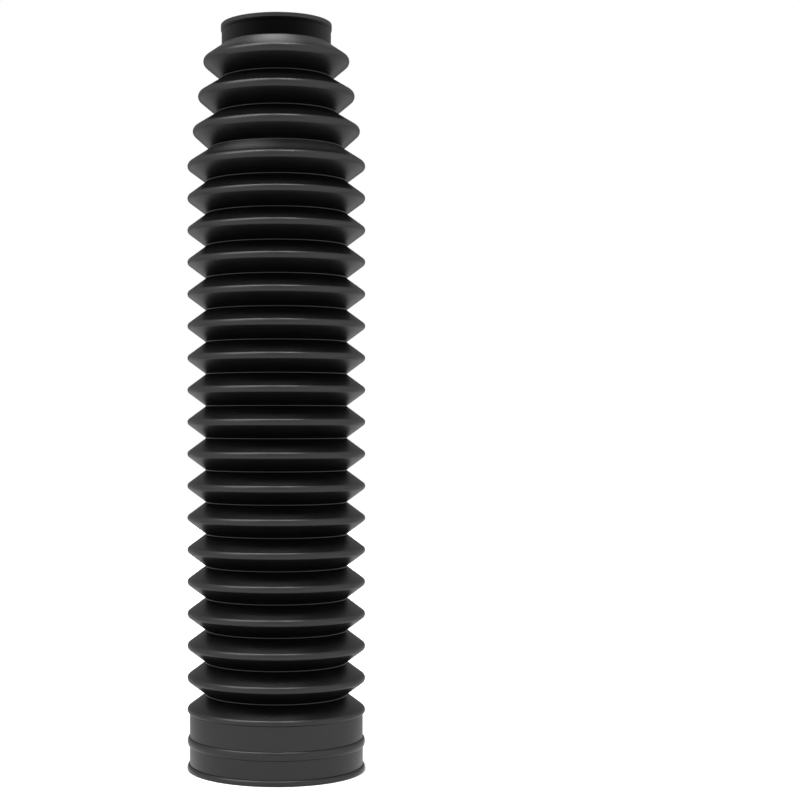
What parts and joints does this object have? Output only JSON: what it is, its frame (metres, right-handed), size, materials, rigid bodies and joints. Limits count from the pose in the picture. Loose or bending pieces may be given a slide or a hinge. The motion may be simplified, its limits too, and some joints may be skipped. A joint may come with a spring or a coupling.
{
  "type": "fork gaiter",
  "caption": "One-piece rubber bellows for a telescopic fork leg: wide lower collar with rim bead and clamp rib, a stack of round folds, three narrowing folds and a short upper collar.",
  "frame": {"origin": "centre of the lower rim, on the flat ring that the gaiter stands on", "axes": "+Z along the gaiter's axis, from the wide lower collar to the narrow upper collar; X and Y across it, alike in every direction"},
  "size_m": [0.0658, 0.0658, 0.2751],
  "materials": {
    "rubber": "satin"
  },
  "bodies": {
    "root": {"gaiter": "rubber"}
  },
  "joints": []
}
